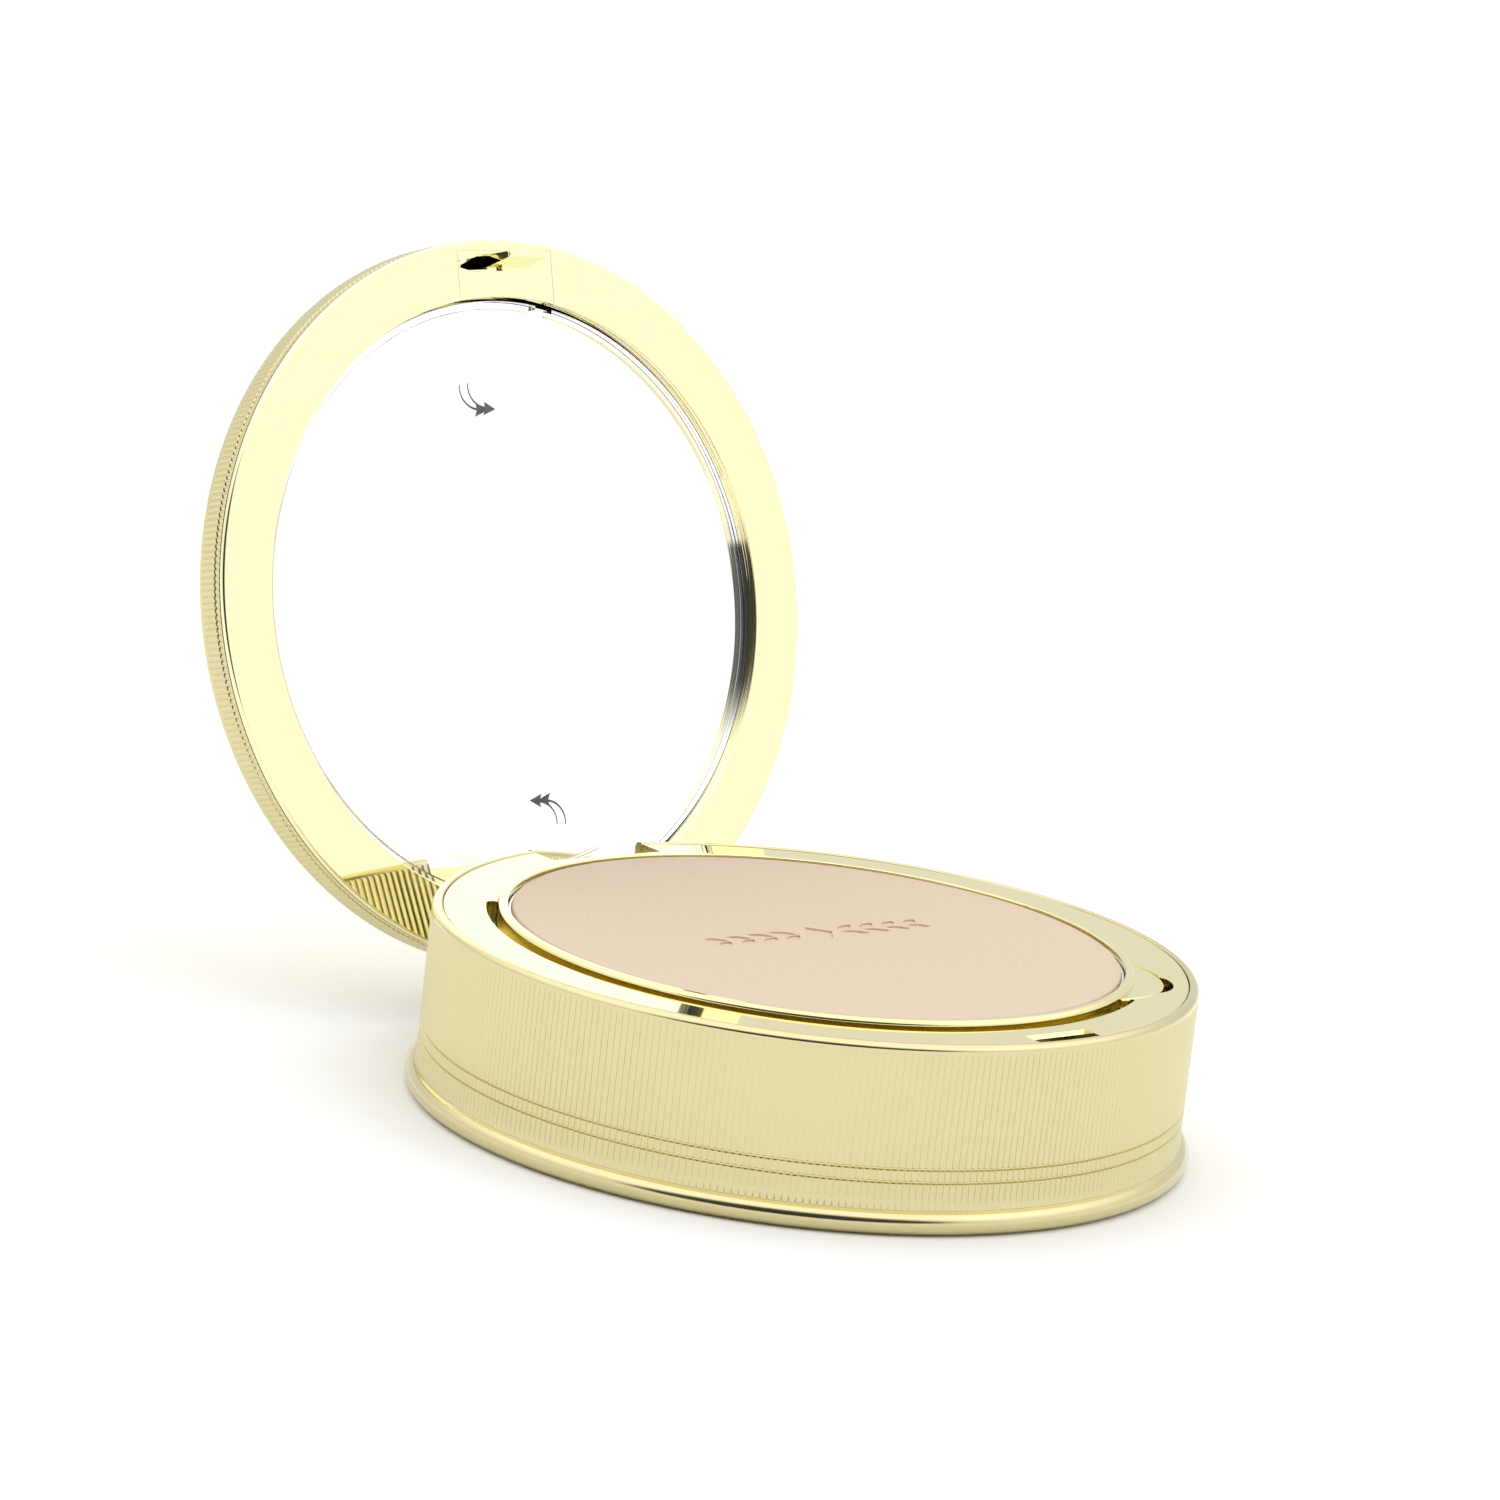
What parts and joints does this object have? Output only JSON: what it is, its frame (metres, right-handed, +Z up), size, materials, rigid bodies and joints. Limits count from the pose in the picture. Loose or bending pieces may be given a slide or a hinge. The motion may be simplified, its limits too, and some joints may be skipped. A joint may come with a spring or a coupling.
{
  "type": "powder compact",
  "caption": "Round pressed-powder compact with a mirrored hinged lid, a lift-out powder tray and a puff well beneath it.",
  "frame": {"origin": "centre of the flat underside of the base", "axes": "+Z up, -Y to the latch at the front, +Y to the hinge at the rear, +X to the right seen from the front; the lid rests at its open stop"},
  "size_m": [0.077, 0.1044, 0.0763],
  "materials": {
    "gold_ribbed": "metallised pale gold, finely ribbed",
    "gold_polished": "metallised pale gold, mirror polished",
    "label_film": "satin blank label film",
    "pin_steel": "drawn steel",
    "puff_foam": "soft foam filling",
    "puff_velour": "short velour pile",
    "ribbon_satin": "satin ribbon",
    "pan_aluminium": "pressed thin aluminium",
    "glue_tape": "thin adhesive",
    "powder": "pressed mineral powder, matte",
    "mirror_glass": "silvered glass",
    "foam_tape": "black foam tape",
    "clear_plastic": "thin clear plastic sheet",
    "print_ink": "printed dark grey ink"
  },
  "bodies": {
    "base": {"base_sleeve": "gold_ribbed", "bottom_plate": "gold_polished", "bottom_label": "label_film", "deck_frame": "gold_polished", "puff_well": "gold_polished", "hinge_pin": "pin_steel", "puff_core": "puff_foam", "puff_front": "puff_velour", "puff_back": "puff_velour", "puff_ribbon": "ribbon_satin"},
    "tray": {"tray_frame": "gold_polished", "powder_pan": "pan_aluminium", "pan_glue": "glue_tape", "pressed_powder": "powder"},
    "lid": {"lid_shell": "gold_ribbed", "lid_back_disc": "gold_polished", "lid_ring": "gold_polished", "hinge_leaf": "gold_polished", "latch_insert": "gold_polished", "mirror_disc": "mirror_glass", "mirror_tape": "foam_tape"},
    "guard": {"mirror_guard": "clear_plastic", "guard_arrows": "print_ink"}
  },
  "joints": [
    {"name": "lid_hinge", "type": "hinge", "parent": "base", "child": "lid", "pos_m": [0, 0.0336, 0.0105], "axis": [1, 0, 0], "range_deg": [0, 106.7]},
    {"name": "tray_lift", "type": "slide", "parent": "base", "child": "tray", "axis": [0, 0, 1], "range_m": [0, 0.045]},
    {"name": "guard_twist", "type": "hinge", "parent": "lid", "child": "guard", "pos_m": [0, 0.05068, 0.04046], "axis": [0, 0.9578, -0.2874], "range_deg": [0, 30]}
  ]
}
